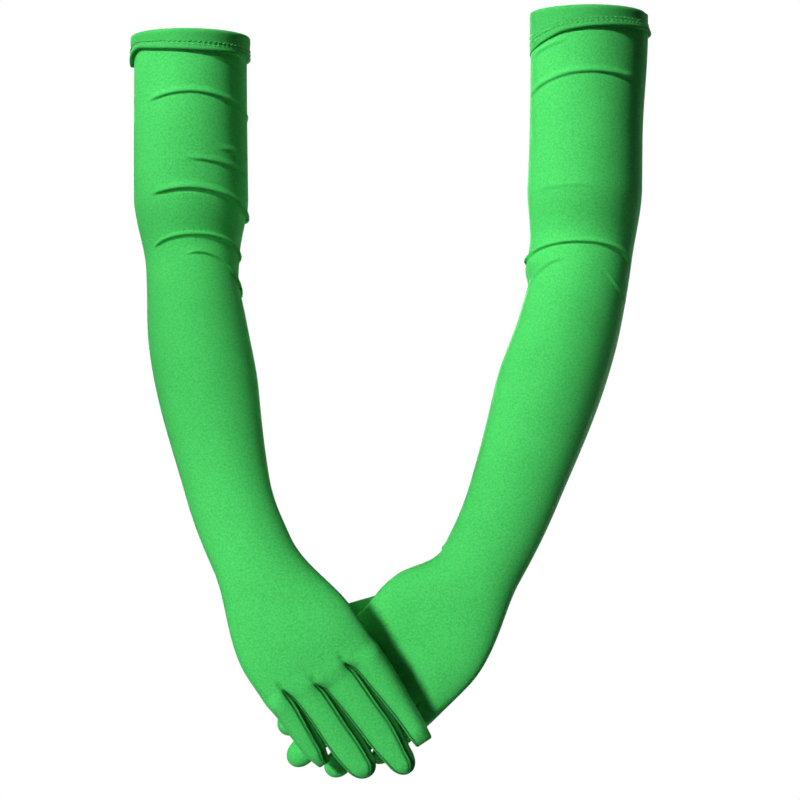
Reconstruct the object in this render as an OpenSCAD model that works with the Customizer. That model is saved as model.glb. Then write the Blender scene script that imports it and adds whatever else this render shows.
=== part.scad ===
// A pair of long stretch-knit dress gloves, worn length to the upper arm, with one hand laid over the other.
// Each glove is sewn from a back panel and a front panel, cut here at the elbow, wrist and finger roots where
// the cloth folds, with a turned hem, a set-in thumb and side strips between the fingers.
// The origin is the middle of the left glove's finger roots. X is across, Z is up, -Y is the front.

/* [Cloth] */
// Thickness of the stretch knit
cloth_t = 1.2; // [0.9:0.1:1.6]
// Gap between panels that move against each other
run_gap = 0.4; // [0.3:0.05:0.6]

/* [Sleeve] */
// Inside diameter of the cuff opening
cuff_bore = 71; // [66:0.5:76]
// Height of the turned hem
hem_h = 14; // [10:0.5:18]
// How far the turned hem stands out from its bore
hem_t = 3.6; // [3:0.1:4.5]
// Outside diameter of the upper sleeve below the hem
upper_d = 75; // [69:0.5:81]
// Outside diameter at the elbow
elbow_d = 61.5; // [56:0.5:68]
// Outside diameter at the thickest part of the forearm
forearm_d = 67; // [60:0.5:72]
// Width of the wrist
wrist_w = 50.5; // [46:0.5:56]
// Thickness of the wrist
wrist_t = 40; // [34:0.5:44]
// Elbow fold to cuff edge on the left glove
left_upper_len = 162; // [150:1:190]
// Elbow fold to cuff edge on the right glove, which has slipped into folds
right_upper_len = 151; // [145:1:190]
// Wrist to elbow fold
forearm_len = 222; // [200:1:240]
// How far the main sleeve folds stand out
fold_height = 2.4; // [1:0.1:3]

/* [Hand] */
// Finger roots to wrist
palm_len = 84; // [76:1:92]
// Thickness of the hand at the finger roots
hand_t = 27; // [24:0.5:30]
// Width of the thumb
thumb_w = 18; // [16:0.5:20]
// Length of the thumb beyond its root
thumb_len = 50; // [42:1:58]

/* [Fingers] */
// Length of the index finger
index_len = 77; // [66:1:84]
// Length of the middle finger
middle_len = 88; // [76:1:96]
// Length of the ring finger
ring_len = 77; // [66:1:84]
// Length of the little finger
little_len = 54; // [46:1:62]
// Width of the index finger
index_w = 20.2; // [18:0.2:22]
// Width of the middle finger
middle_w = 20; // [18:0.2:22]
// Width of the ring finger
ring_w = 17.2; // [15:0.2:19]
// Width of the little finger
little_w = 14; // [12:0.2:16]
// Thickness of the fingers
finger_t = 16.5; // [14:0.5:18]
// Gap between neighbouring fingers
finger_gap = 1; // [0.8:0.1:1.6]

/* [Left glove pose] */
// Lean of the left fingers from upright
left_finger_lean = 46.5; // [36:0.5:50]
// Lean of the left wrist
left_wrist_lean = 28; // [24:0.5:36]
// Lean of the lower left forearm
left_low_lean = 21; // [16:0.5:28]
// Lean of the upper left forearm
left_high_lean = 15.5; // [10:0.5:20]
// Lean of the left upper sleeve
left_upper_lean = 3; // [0:0.5:6]
// Backward slope of the left forearm from wrist to elbow
left_forearm_slope = 25; // [18:0.5:32]
// How far the left thumb stands out to the side
left_thumb_swing = 28; // [20:1:32]
// How far the left thumb's root fills out the side of the hand
left_thumb_fill = 8; // [0:0.5:9]
// How much wider the left forearm and elbow are than the right ones
left_forearm_fill = 4; // [0:0.5:6]

/* [Right glove pose] */
// Lean of the right fingers from upright
right_finger_lean = 33.5; // [28:0.5:42]
// Lean of the right wrist
right_wrist_lean = 25.5; // [16:0.5:28]
// Lean of the lower right forearm
right_low_lean = 16; // [10:0.5:22]
// Lean of the upper right forearm
right_high_lean = 10.5; // [6:0.5:16]
// Lean of the right upper sleeve
right_upper_lean = 0.5; // [0:0.5:6]
// Backward slope of the right forearm from wrist to elbow
right_forearm_slope = 38; // [30:0.5:42]
// Left finger roots to right finger roots, across
right_across = 55; // [50:0.5:62]
// Gap between the left hand and the right thumb that lies over it
hands_gap = 0.7; // [0.3:0.1:4]
// How much higher the right finger roots are
right_above = 3.5; // [0:0.5:10]
// How far the right thumb stands out to the side
right_thumb_swing = 0; // [0:1:6]

/* [Hidden] */
LEFT = 0;
RIGHT = 1;
GLOVES = ["left", "right"];
FINGERS = ["index", "middle", "ring", "little"];
GLOVE_NODES = [
    "cuff_hem", "upper_sleeve_back", "upper_sleeve_front", "forearm_back", "forearm_front",
    "hand_back", "hand_palm", "thumb"
];
FINGER_NODES = ["back", "front"];
// Side strips sewn between the fingers: the finger, and 1 for its thumb side or -1 for its little-finger side
STRIPS = [
    ["index", -1], ["middle", 1], ["middle", -1], ["ring", 1], ["ring", -1], ["little", 1]
];
function strip_name(strip) = str(strip[0], strip[1] > 0 ? "_strip_thumb_side" : "_strip_little_side");
function finger_number(name) = search([name], FINGERS)[0];
cloth_color = [0.18, 0.65, 0.25];
shade_color = [0.13, 0.50, 0.18];

// Cells round each half of a sleeve, and across a finger panel, a side strip and the thumb
half_cells = 12;
finger_cells = 5;
strip_cells = 2;
thumb_cells = 14;

// Stations along a glove, measured up the arm from the finger roots
wrist_s = palm_len;
elbow_s = palm_len + forearm_len;
upper_len = [left_upper_len, right_upper_len];
function cuff_s(g) = elbow_s + upper_len[g];
function hem_s(g) = cuff_s(g) - hem_h;
wrist_bend = 50;
elbow_bend = 40;
mid_palm_s = palm_len / 2;

// The thumb side points to -X on the left glove and to +X on the right one
thumb_side = [-1, 1];
lean_side = [1, -1];
thumb_nest = 0.1;
right_ahead = hand_t + thumb_w - thumb_nest + hands_gap;
roots_at = [[0, 0, 0], [-right_across, -right_ahead, right_above]];

// Width of the hand at the finger roots, from the fingers that stand on it
finger_w = [index_w, middle_w, ring_w, little_w];
root_span = index_w + middle_w + ring_w + little_w + 3 * finger_gap;
root_rim = 0.5;
hand_w = root_span + root_rim;

// Eased curve through pairs of station and value
function mix(a, b, t) = a + (b - a) * t;
function ease(t) = let (c = min(1, max(0, t))) c * c * (3 - 2 * c);
function eased(keys, s, i = 0) =
    i + 2 >= len(keys) || s < keys[i + 1][0]
        ? mix(keys[i][1], keys[i + 1][1], ease((s - keys[i][0]) / (keys[i + 1][0] - keys[i][0])))
        : eased(keys, s, i + 1);
function unit(v) = v / norm(v);
function signed_power(x, e) = sign(x) * pow(abs(x), e);

// Lean to the side and slope to the back of each glove's middle line
lean_keys = [
    [
        [0, left_finger_lean], [wrist_s, left_wrist_lean], [wrist_s + wrist_bend, left_low_lean],
        [elbow_s - elbow_bend, left_high_lean], [elbow_s + elbow_bend, left_upper_lean],
        [hem_s(LEFT) - hem_h, 0], [cuff_s(LEFT), 0]
    ],
    [
        [0, right_finger_lean], [wrist_s, right_wrist_lean], [wrist_s + wrist_bend, right_low_lean],
        [elbow_s - elbow_bend, right_high_lean], [elbow_s + elbow_bend, right_upper_lean],
        [hem_s(RIGHT) - hem_h, 0], [cuff_s(RIGHT), 0]
    ]
];
left_finger_slope = 5;
left_palm_slope = 6;
left_wrist_slope = 14;
right_finger_slope = -10;
right_palm_slope = 7;
right_wrist_slope = 20;
slope_keys = [
    [
        [0, left_finger_slope], [mid_palm_s, left_palm_slope], [wrist_s, left_wrist_slope],
        [wrist_s + wrist_bend, left_forearm_slope], [elbow_s - elbow_bend, left_forearm_slope],
        [elbow_s + elbow_bend, 0], [cuff_s(LEFT), 0]
    ],
    [
        [0, right_finger_slope], [mid_palm_s, right_palm_slope], [wrist_s, right_wrist_slope],
        [wrist_s + wrist_bend, right_forearm_slope], [elbow_s - elbow_bend, right_forearm_slope],
        [elbow_s + elbow_bend, 0], [cuff_s(RIGHT), 0]
    ]
];
function up_at(g, s) =
    let (lean = lean_side[g] * eased(lean_keys[g], s), slope = eased(slope_keys[g], s))
    [sin(lean) * cos(slope), sin(slope), cos(lean) * cos(slope)];

// Middle line, stepped up the arm from the finger roots
step = 2;
middle_line = [
    for (g = [LEFT, RIGHT]) [
        for (
            i = 0, p = roots_at[g];
            i * step <= cuff_s(g) + step;
            p = p + step * up_at(g, (i + 0.5) * step), i = i + 1
        ) p
    ]
];
function middle_at(g, s) =
    let (i = floor(max(0, s) / step))
    mix(middle_line[g][i], middle_line[g][i + 1], s / step - i);

// Cross axes at a station: one to the thumb side, one to the back of the hand, which faces the front
function back_axis(g, s) = let (t = up_at(g, s)) unit([0, -1, 0] + t[1] * t);
function thumb_axis(g, s) = thumb_side[g] * cross(up_at(g, s), back_axis(g, s));

// Half width, half thickness and squareness of the glove at a station
knuckle_band = 16;
knuckle_rise = 0.5;
wrist_band = 10;
wrist_flare = 7;
calf_below_elbow = 60;
swell_above_elbow = 45;
hem_seat = 0.3;
calf_s = elbow_s - calf_below_elbow;
swell_end_s = elbow_s + swell_above_elbow;
sleeve_top_r = cuff_bore / 2 + cloth_t + hem_seat;
function forearm_fill(g, s) = g == RIGHT ? 0 : left_forearm_fill / 2 * eased([
    [wrist_s - wrist_bend, 0], [wrist_s + wrist_bend, 1], [elbow_s, 1], [swell_end_s, 0], [cuff_s(g), 0]
], s);
root_share = 0.55;
function thumb_fill(g, s) = g == RIGHT ? 0 : left_thumb_fill * eased([
    [0, root_share], [mid_palm_s, 1], [wrist_s - wrist_band, 0], [cuff_s(g), 0]
], s);
function half_width(g, s) = forearm_fill(g, s) + eased([
    [0, hand_w / 2], [knuckle_band, hand_w / 2], [wrist_s - wrist_flare, wrist_w / 2],
    [wrist_s + wrist_band, wrist_w / 2],
    [calf_s, forearm_d / 2], [elbow_s, elbow_d / 2], [swell_end_s, upper_d / 2], [hem_s(g), sleeve_top_r],
    [cuff_s(g), sleeve_top_r]
], s);
function half_thick(g, s) = eased([
    [0, hand_t / 2], [knuckle_band, hand_t / 2 + knuckle_rise], [wrist_s, wrist_t / 2],
    [wrist_s + wrist_band, wrist_t / 2],
    [calf_s, forearm_d / 2], [elbow_s, elbow_d / 2], [swell_end_s, upper_d / 2], [hem_s(g), sleeve_top_r],
    [cuff_s(g), sleeve_top_r]
], s);
root_square = 0.72;
function squareness(s) = eased([[0, root_square], [wrist_s, 1], [elbow_s, 1]], s);

// A point on the glove at a station and an angle from the thumb side, with its swell outwards
function skin(g, s, angle, swell) =
    let (
        e = squareness(s),
        a = half_width(g, s) + swell + (cos(angle) > 0 ? thumb_fill(g, s) : 0),
        b = half_thick(g, s) + swell
    )
    middle_at(g, s) + thumb_axis(g, s) * a * signed_power(cos(angle), e)
        + back_axis(g, s) * b * signed_power(sin(angle), e);

// A row round the glove: station, drop across it, swell and the angle where the swell is greatest
function row_point(g, row, angle, inset) =
    skin(
        g, row[0] - row[1] * cos(angle), angle,
        row[2] * (1 + cos(angle - row[3])) / 2 - inset
    );

// Sleeve folds, below the hem or above the elbow: station, drop to the thumb side, share of the full height,
// strongest angle
fold_half = 4;
high_fold = 29;
upper_fold = 62;
main_fold = 38;
elbow_fold = 12;
folds = [
    [[hem_s(LEFT) - high_fold, 5, 0.6, 60], [elbow_s + elbow_fold, 3, 1, 30]],
    [
        [hem_s(RIGHT) - high_fold, 4, 0.6, 60], [elbow_s + upper_fold, 3, 0.5, 10],
        [elbow_s + main_fold, 8, 1, 20], [elbow_s + elbow_fold, 4, 0.8, 20]
    ]
];
function fold_rows(fold) = [
    for (k = [-1:1]) [fold[0] + k * fold_half, fold[1], k == 0 ? fold[2] * fold_height : 0, fold[3]]
];
function plain_rows(stations) = [for (s = stations) [s, 0, 0, 0]];
function even(from, to, count) = [for (i = [0:count]) mix(from, to, i / count)];

// Rows of the sleeve, forearm and hand, from the lowest up
function by_station(rows) =
    len(rows) < 2
        ? rows
        : concat(
            by_station([for (r = rows) if (r[0] < rows[0][0]) r]),
            [rows[0]],
            by_station([for (r = rows) if (r[0] > rows[0][0]) r])
        );
swell_step = 20;
swell_rows = [plain_rows([for (k = [-1:1]) swell_end_s + k * swell_step]), []];
upper_rows = [
    for (g = [LEFT, RIGHT]) by_station(concat(
        plain_rows([elbow_s + run_gap / 2, hem_s(g)]),
        [for (f = folds[g]) each fold_rows(f)],
        swell_rows[g]
    ))
];
forearm_rows = plain_rows(even(wrist_s + run_gap / 2, elbow_s - run_gap / 2, 10));
hand_rows = plain_rows(even(0, wrist_s - run_gap / 2, 7));

// Cloth panel: a grid of outer points and a matching grid one cloth thickness inside, closed at every edge.
// Cells that hole names are left open. A stall closes round on itself and at its last row.
module cloth(outer, inner, flip, hole = function (i, j) false, stall = false) {
    rows = len(outer);
    columns = len(outer[0]);
    count = rows * columns;
    last = stall ? columns - 1 : columns - 2;
    function at(i, j) = i * columns + j % columns;
    function under(i, j) = count + at(i, j);
    function on(i, j) = i >= 0 && (stall || j >= 0 && j <= last) && i < rows - 1 && !hole(i, j);
    function end(i) = stall && i == rows - 2;
    quads = [
        for (i = [0:rows - 2], j = [0:last]) if (on(i, j)) each concat(
            [[at(i, j), at(i + 1, j), at(i + 1, j + 1), at(i, j + 1)]],
            [[under(i, j), under(i, j + 1), under(i + 1, j + 1), under(i + 1, j)]],
            on(i - 1, j) ? [] : [[at(i, j), at(i, j + 1), under(i, j + 1), under(i, j)]],
            on(i, j - 1) ? [] : [[at(i + 1, j), at(i, j), under(i, j), under(i + 1, j)]],
            on(i + 1, j) || end(i)
                ? []
                : [[at(i + 1, j + 1), at(i + 1, j), under(i + 1, j), under(i + 1, j + 1)]],
            on(i, j + 1) ? [] : [[at(i + 1, j + 1), under(i + 1, j + 1), under(i, j + 1), at(i, j + 1)]]
        )
    ];
    cap = stall ? [for (j = [1:columns - 2]) each [
        [at(rows - 1, 0), at(rows - 1, j + 1), at(rows - 1, j)],
        [under(rows - 1, 0), under(rows - 1, j), under(rows - 1, j + 1)]
    ]] : [];
    triangles = concat([for (q = quads) each [[q[0], q[1], q[2]], [q[0], q[2], q[3]]]], cap);
    faces = flip ? [for (t = triangles) [t[2], t[1], t[0]]] : triangles;
    polyhedron(points = concat([for (r = outer) each r], [for (r = inner) each r]), faces = faces);
}

// Half of the sleeve or hand between rows: the back half, or the front half where turn is -1
module half_sleeve(g, rows, turn, hole = function (i, j) false) {
    function grid(inset) = [
        for (r = rows) [for (j = [0:half_cells]) row_point(g, r, turn * 180 * j / half_cells, inset)]
    ];
    cloth(grid(0), grid(cloth_t), (g == RIGHT) != (turn < 0), hole);
}

// Hem: the sleeve's edge turned over, with a soft roll at both rims
module cuff_hem(g) {
    roll = hem_t / 2;
    inner_r = cuff_bore / 2;
    color(cloth_color)
        translate(middle_at(g, hem_s(g)))
            rotate_extrude($fn = 96)
                polygon(concat(
                    [[inner_r, 0], [inner_r + roll, 0]],
                    [for (a = [-90:30:90]) [
                        inner_r + roll + roll * cos(a), (a < 0 ? roll : hem_h - roll) + roll * sin(a)
                    ]],
                    [[inner_r, hem_h]]
                ));
}

module upper_sleeve_back(g) color(cloth_color) half_sleeve(g, upper_rows[g], 1);
module upper_sleeve_front(g) color(cloth_color) half_sleeve(g, upper_rows[g], -1);
module forearm_back(g) color(cloth_color) half_sleeve(g, forearm_rows, 1);
module forearm_front(g) color(cloth_color) half_sleeve(g, forearm_rows, -1);
module hand_back(g) color(cloth_color) half_sleeve(g, hand_rows, 1);

// Thumb hole in the palm panel, in rows up the palm and columns from the thumb side
hole_rows = [3, 4];
hole_columns = [4, 5];
function within(range, i) = i >= range[0] && i <= range[1];
module hand_palm(g)
    color(cloth_color)
        half_sleeve(g, hand_rows, -1, function (i, j) within(hole_rows, i) && within(hole_columns, j));

// Thumb root: middle of the hole on the palm's surface, and axes down the palm, across it and out of it
hole_s = (hand_rows[hole_rows[0]][0] + hand_rows[hole_rows[1] + 1][0]) / 2;
hole_edges = [-180 * hole_columns[0] / half_cells, -180 * (hole_columns[1] + 1) / half_cells];
hole_angle = (hole_edges[0] + hole_edges[1]) / 2;
hole_len = hand_rows[hole_rows[1] + 1][0] - hand_rows[hole_rows[0]][0];
hole_cover = 1.45;
thumb_root_long = hole_len / 2 * hole_cover;
function thumb_root_wide(g) =
    norm(skin(g, hole_s, hole_edges[0], 0) - skin(g, hole_s, hole_edges[1], 0)) / 2 * hole_cover;
thumb_fan_gap = 2.5;
thumb_lift = 2;
thumb_swing = [left_thumb_swing, right_thumb_swing];
function thumb_frame(g) =
    let (
        p = skin(g, hole_s, hole_angle, 0),
        down = unit(skin(g, 0, hole_angle, 0) - p),
        side = unit(skin(g, hole_s, hole_angle + 1, 0) - skin(g, hole_s, hole_angle - 1, 0)),
        out = thumb_side[g] * unit(cross(side, down))
    )
    let (across = cross(down, out) * thumb_side[g], swing = thumb_swing[g])
    [
        p,
        down * cos(swing) + across * sin(swing),
        across * cos(swing) - down * sin(swing),
        out
    ];

// The thumb's rows fan out from the palm about a line just below the hole, then run on to the tip
thumb_fan = 5;
thumb_tip_share = 0.2;
thumb_tip_rows = [0.35, 0.7, 0.86, 0.95, 1];
function thumb_row(g, turn, beyond, long, wide, inset) =
    let (
        f = thumb_frame(g),
        pivot = f[0] + f[1] * (thumb_root_long + thumb_fan_gap),
        arm = -f[1] * cos(turn) + f[3] * sin(turn),
        run = f[1] * sin(turn) + f[3] * cos(turn),
        middle = pivot + arm * (thumb_fan_gap + long) + run * beyond
    )
    [
        for (j = [0:thumb_cells - 1])
            let (a = 360 * j / thumb_cells)
            middle + arm * (long - inset) * cos(a) + f[2] * (wide - inset) * sin(a)
    ];
// The first row follows the palm, raised on the sides that meet rising ground as the thumb swings
lift_angle = 45;
function root_lift(angle) = mix(run_gap, thumb_lift, (1 + cos(angle - lift_angle)) / 2);
function on_palm(g, q, lift) =
    let (
        s = hole_s + (q - middle_at(g, hole_s)) * up_at(g, hole_s),
        u = (q - middle_at(g, s)) * thumb_axis(g, s),
        e = squareness(s),
        a = half_width(g, s) + (u > 0 ? thumb_fill(g, s) : 0),
        c = min(1, pow(abs(u) / a, 1 / e))
    )
    middle_at(g, s) + thumb_axis(g, s) * u
        - back_axis(g, s) * (half_thick(g, s) * pow(1 - c * c, e / 2) + lift);
function thumb_grid(g, inset) = concat(
    [
        let (row = thumb_row(g, 0, 0, thumb_root_long, thumb_root_wide(g), inset))
        [for (j = [0:thumb_cells - 1]) on_palm(g, row[j], root_lift(360 * j / thumb_cells))]
    ],
    [
        for (k = [1:thumb_fan])
            let (t = k / thumb_fan)
            thumb_row(
                g, 90 * t, 0, mix(thumb_root_long, thumb_w / 2, ease(t)),
                mix(thumb_root_wide(g), thumb_w / 2, ease(t)), inset
            )
    ],
    [
        for (t = thumb_tip_rows)
            let (r = tip_round(thumb_w / 2, thumb_len, t, thumb_tip_share))
            thumb_row(g, 90, thumb_len * t - inset * t, r, r, inset)
    ]
);
module thumb(g) color(cloth_color) cloth(thumb_grid(g, 0), thumb_grid(g, cloth_t), g == LEFT, stall = true);

// Half size near a tip: full along the finger, then rounding to a share of it at the end
tip_zone = 12;
function tip_round(half, length, t, share) =
    let (x = min(1, length * (1 - t) / tip_zone))
    half * mix(share, 1, sqrt(1 - pow(1 - x, 2)));

// Finger sizes and places across the roots, side by side with a gap between neighbours
finger_len = [index_len, middle_len, ring_len, little_len];
function sum_before(f) = f <= 0 ? 0 : sum_before(f - 1) + finger_w[f - 1] + finger_gap;
function finger_across(f) = root_span / 2 - sum_before(f) - finger_w[f] / 2;

// Half thickness of a finger's root, from the hand's own section there
function root_thick(f) =
    let (c = pow(abs(finger_across(f)) / (hand_w / 2), 1 / root_square))
    hand_t / 2 * pow(sqrt(1 - c * c), root_square);

// The index and little fingers end square, the others round. Their backs run straight, their fronts draw in
tip_share = [0.72, 0.35, 0.35, 0.66];
finger_rows = [0, 0.2, 0.45, 0.7, 0.87, 0.95, 1];
root_taper = 0.2;
end_narrowing = 0.94;
least_inside = 0.1;
strip_taper = 0.6;
finger_square = 0.86;
strip_half = 34;
strip_tip = 8;
function strip_angle(f, side, t) =
    len([for (s = STRIPS) if (s == [FINGERS[f], side]) 1]) == 0
        ? 0
        : mix(strip_half, strip_tip, ease((t - strip_taper) / (1 - strip_taper)));
function finger_point(g, f, t, angle, inset) =
    let (
        down = -up_at(g, 0),
        root = middle_at(g, 0) + thumb_axis(g, 0) * finger_across(f) + down * run_gap,
        a = tip_round(finger_w[f] / 2 * mix(1, end_narrowing, t), finger_len[f], t, tip_share[f]),
        taper = sin(angle) > 0 ? t : ease(t / root_taper),
        full_b = mix(root_thick(f), finger_t / 2, taper),
        b = max(cloth_t + least_inside, tip_round(full_b, finger_len[f], t, 0))
    )
    root + down * (finger_len[f] - run_gap) * t
        + thumb_axis(g, 0) * (a - inset) * signed_power(cos(angle), finger_square)
        + back_axis(g, 0) * (b - inset) * signed_power(sin(angle), finger_square);

// Part of a finger between two angles that may change along it
module finger_panel(g, f, cells, from, to) {
    function grid(inset) = [
        for (t = finger_rows)
            [for (j = [0:cells]) finger_point(g, f, t, mix(from(t), to(t), j / cells), inset)]
    ];
    cloth(grid(0), grid(cloth_t), (g == LEFT) != (from(0) > to(0)));
}
module finger_back(g, f)
    color(cloth_color)
        finger_panel(
            g, f, finger_cells, function (t) strip_angle(f, 1, t), function (t) 180 - strip_angle(f, -1, t)
        );
module finger_front(g, f)
    color(cloth_color)
        finger_panel(
            g, f, finger_cells, function (t) -strip_angle(f, 1, t), function (t) strip_angle(f, -1, t) - 180
        );
module finger_strip(g, f, side)
    color(shade_color)
        finger_panel(
            g, f, strip_cells,
            function (t) (side > 0 ? 0 : 180) - strip_angle(f, side, t),
            function (t) (side > 0 ? 0 : 180) + strip_angle(f, side, t)
        );

for (g = [LEFT, RIGHT]) {
    cuff_hem(g);
    upper_sleeve_back(g);
    upper_sleeve_front(g);
    forearm_back(g);
    forearm_front(g);
    hand_back(g);
    hand_palm(g);
    thumb(g);
    for (f = [0:len(FINGERS) - 1]) {
        finger_back(g, f);
        finger_front(g, f);
    }
    for (s = STRIPS) {
        finger_strip(g, finger_number(s[0]), s[1]);
    }
}
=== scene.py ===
"""A pair of long stretch-knit gloves, one hand laid over the other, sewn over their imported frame."""
import math

import bmesh
import bpy
import numpy as np
from bpy.props import FloatProperty, FloatVectorProperty, IntProperty, PointerProperty
from mathutils import Matrix, Vector


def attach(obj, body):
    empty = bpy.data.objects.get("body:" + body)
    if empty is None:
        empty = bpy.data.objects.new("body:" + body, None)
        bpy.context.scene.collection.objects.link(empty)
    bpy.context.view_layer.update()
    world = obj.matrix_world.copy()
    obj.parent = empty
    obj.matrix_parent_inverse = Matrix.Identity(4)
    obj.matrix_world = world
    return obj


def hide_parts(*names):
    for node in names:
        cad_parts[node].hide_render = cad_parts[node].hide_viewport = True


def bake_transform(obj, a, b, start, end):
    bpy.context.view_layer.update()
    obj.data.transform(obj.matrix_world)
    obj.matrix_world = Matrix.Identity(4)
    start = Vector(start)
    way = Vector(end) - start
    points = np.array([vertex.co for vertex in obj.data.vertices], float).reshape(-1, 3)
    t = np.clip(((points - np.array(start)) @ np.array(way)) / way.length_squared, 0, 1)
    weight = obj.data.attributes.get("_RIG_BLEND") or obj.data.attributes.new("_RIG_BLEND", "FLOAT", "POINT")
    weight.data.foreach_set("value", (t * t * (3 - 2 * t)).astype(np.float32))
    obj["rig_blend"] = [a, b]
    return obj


bl_info = {
    "name": "Long Knit Gloves",
    "version": (1, 0, 0),
    "blender": (4, 5, 0),
    "location": "View3D > Sidebar > Gloves",
    "description": "Sews a pair of long stretch-knit gloves over their frame and sets up a plain stage",
    "category": "Object",
}

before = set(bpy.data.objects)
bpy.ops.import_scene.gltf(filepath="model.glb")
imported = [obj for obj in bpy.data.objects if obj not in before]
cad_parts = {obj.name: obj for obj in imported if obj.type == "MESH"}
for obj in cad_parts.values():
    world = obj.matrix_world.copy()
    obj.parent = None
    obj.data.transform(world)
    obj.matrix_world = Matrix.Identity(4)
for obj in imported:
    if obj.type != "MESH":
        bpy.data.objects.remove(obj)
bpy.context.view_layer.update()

MM = 0.001
SIDES = ("left", "right")
FINGERS = ("index", "middle", "ring", "little")
STRIPS = {
    "index": ("index_strip_little_side",),
    "middle": ("middle_strip_thumb_side", "middle_strip_little_side"),
    "ring": ("ring_strip_thumb_side", "ring_strip_little_side"),
    "little": ("little_strip_thumb_side",),
}

# How far the right glove's slits drift to the thumb side: millimetres below the finger roots, and drift
INDEX_MIDDLE = ((0, 0), (16, 2.5), (33, 4.1), (57, 5.8), (76, 5.5), (90, 4.6))
MIDDLE_RING = ((0, 0), (15, 1.9), (30, 3.2), (60, 4.6), (90, 5.2))
RING_LITTLE = ((0, 0), (12, 1.5), (23, 2.0), (42, 1.5), (58, 1.4), (80, 1.4))
STRAIGHT = ((0, 0), (90, 0))

# How each glove hangs and how its cloth departs from the plain form, in degrees and millimetres
POSE = {
    "left": {
        # Which way along X the thumb lies, and where the finger roots are
        "thumb_side": -1,
        "roots": (0.0, 0.0, 0.0),
        # Lean at the finger roots, wrist, lower forearm, and below and above the elbow
        "lean": (46.5, 28.0, 21.0, 15.5, 1.6),
        # Backward slope at the finger roots, mid palm, wrist and forearm
        "slope": (5.0, 6.0, 14.0, 25.0),
        # How far the forearm and the thumb side of the hand stand out, and the thumb's turn across the palm
        "forearm_fill": 2.0,
        "thumb_fill": 8.0,
        "thumb_swing": 28.0,
        # Cloth drawn in on the thumb side: depth, and where it lets go, from the elbow; and how far that stands out
        "elbow_tuck": (5.0, -32, -16),
        "elbow_fill": 1.3,
        # Added length of the fingers, and each finger's thumb side and little side: its slit's drift and its own
        "finger_reach": (8.5, 6.7, 5.5, 3.0),
        "finger_sides": {
            "index": ((((0, 0), (80, -6.6)), STRAIGHT), (((0, 0), (80, -2.1)), STRAIGHT)),
            "middle": ((((0, 0), (87, -3.6)), STRAIGHT), (((0, 0), (87, 1.2)), STRAIGHT)),
            "ring": ((((0, 0), (76, -3.3)), STRAIGHT), (((0, 0), (76, -1.1)), STRAIGHT)),
            "little": ((((0, 0), (57, -1.5)), STRAIGHT), (((0, 0), (57, 1.5)), STRAIGHT)),
        },
        # Valleys above the webs, where the slits start, how far the roots draw in, and where the seams end
        "web_valley": 0.0,
        "slit_from": 9.0,
        "root_draw": 15.0,
        "tip_plain": 0.7,
        # The hand's rim from the thumb side to the little side
        "web_stations": (-3.0, -4.4, -5.4, -7.5, -3.0),
        # How far the hem lies below the cuff's station, and how far the sleeve flares to it
        "hem_drop": 2.5,
        "cuff_flare": 3.6,
    },
    "right": {
        "thumb_side": 1,
        "roots": (-55.0, -45.6, 3.5),
        "lean": (33.5, 25.5, 16.0, 10.5, 0.5),
        "slope": (-10.0, 7.0, 20.0, 38.0),
        "forearm_fill": 0.0,
        "thumb_fill": 0.0,
        "thumb_swing": 0.0,
        "elbow_tuck": (2.7, -20, 6),
        "elbow_fill": 0.0,
        "finger_reach": (1.0, 0.5, -0.5, 1.0),
        "finger_sides": {
            "index": ((((0, 0), (24, 0.3), (57, -1.8), (76, -3.2)), STRAIGHT), (INDEX_MIDDLE, STRAIGHT)),
            "middle": ((INDEX_MIDDLE, ((0, 0), (48, 0), (80, -2.9))), (MIDDLE_RING, ((0, 0), (56, 0), (90, 2.6)))),
            "ring": ((MIDDLE_RING, ((0, 0), (44, 0), (80, -2.6))), (RING_LITTLE, ((0, 0), (50, 0), (82, 3.2)))),
            "little": (
                (RING_LITTLE, ((0, 0), (30, 0), (56, -1.3))), (((0, 0), (12, 1.4), (30, 1.6), (53, 2.8)), STRAIGHT)
            ),
        },
        "web_valley": 1.7,
        "slit_from": 0.0,
        "root_draw": 10.0,
        "tip_plain": 1.0,
        "web_stations": (-3.0, -4.4, -5.4, 2.4, 3.0),
        "hem_drop": 0.0,
        "cuff_flare": 0.0,
    },
}

# Sleeve folds: path as (degrees from the thumb side, millimetres above the elbow), and height in millimetres
FOLDS = {
    "left": (
        (((2, 127), (20, 130), (43, 134), (70, 138)), 1.2),
        (((2, 103.5), (15, 105.7), (37, 110), (60, 114.9), (82, 116.3), (102, 116.5), (145, 113)), 2.2),
        (((30, 39), (66, 42.3), (100, 42.1)), 0.6),
        (
            (
                (-16, -14), (8, -11.5), (23, -10.5), (38, -8.5), (59, -4.5), (85, -0.2), (108, 1.1), (132, -1),
                (165, -7),
            ),
            3.5,
        ),
        (((112, -20), (132, -26.7), (175, -28)), 1.5),
        (((0, -40), (20, -33), (45, -25), (75, -19)), 2.2),
        (((-70, -238), (-20, -233), (0, -231.5), (30, -228), (75, -220)), 1.3),
    ),
    "right": (
        (((70, 134), (45, 131.5), (15, 127.5)), 1.2),
        (((135, 104), (104, 109.4), (85, 111.2), (60, 108.6), (21, 100.6), (-10, 95)), 2.2),
        (((95, 67.3), (57, 65.2), (0, 54)), 1.8),
        (((60, 74), (40, 73), (0, 67)), 1.6),
        (((130, 44), (95, 48.7), (77, 48.7), (57, 46.4), (35, 40.1), (10, 33.9), (-25, 28)), 3.6),
        (((140, 5), (104, 12.1), (84, 12.7), (67, 12.4), (45, 9.5), (10, 3.5), (-15, -1)), 3.0),
        (((95, -10), (60, -9), (33, -15.6), (5, -22), (-25, -28)), 3.2),
    ),
}
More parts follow.
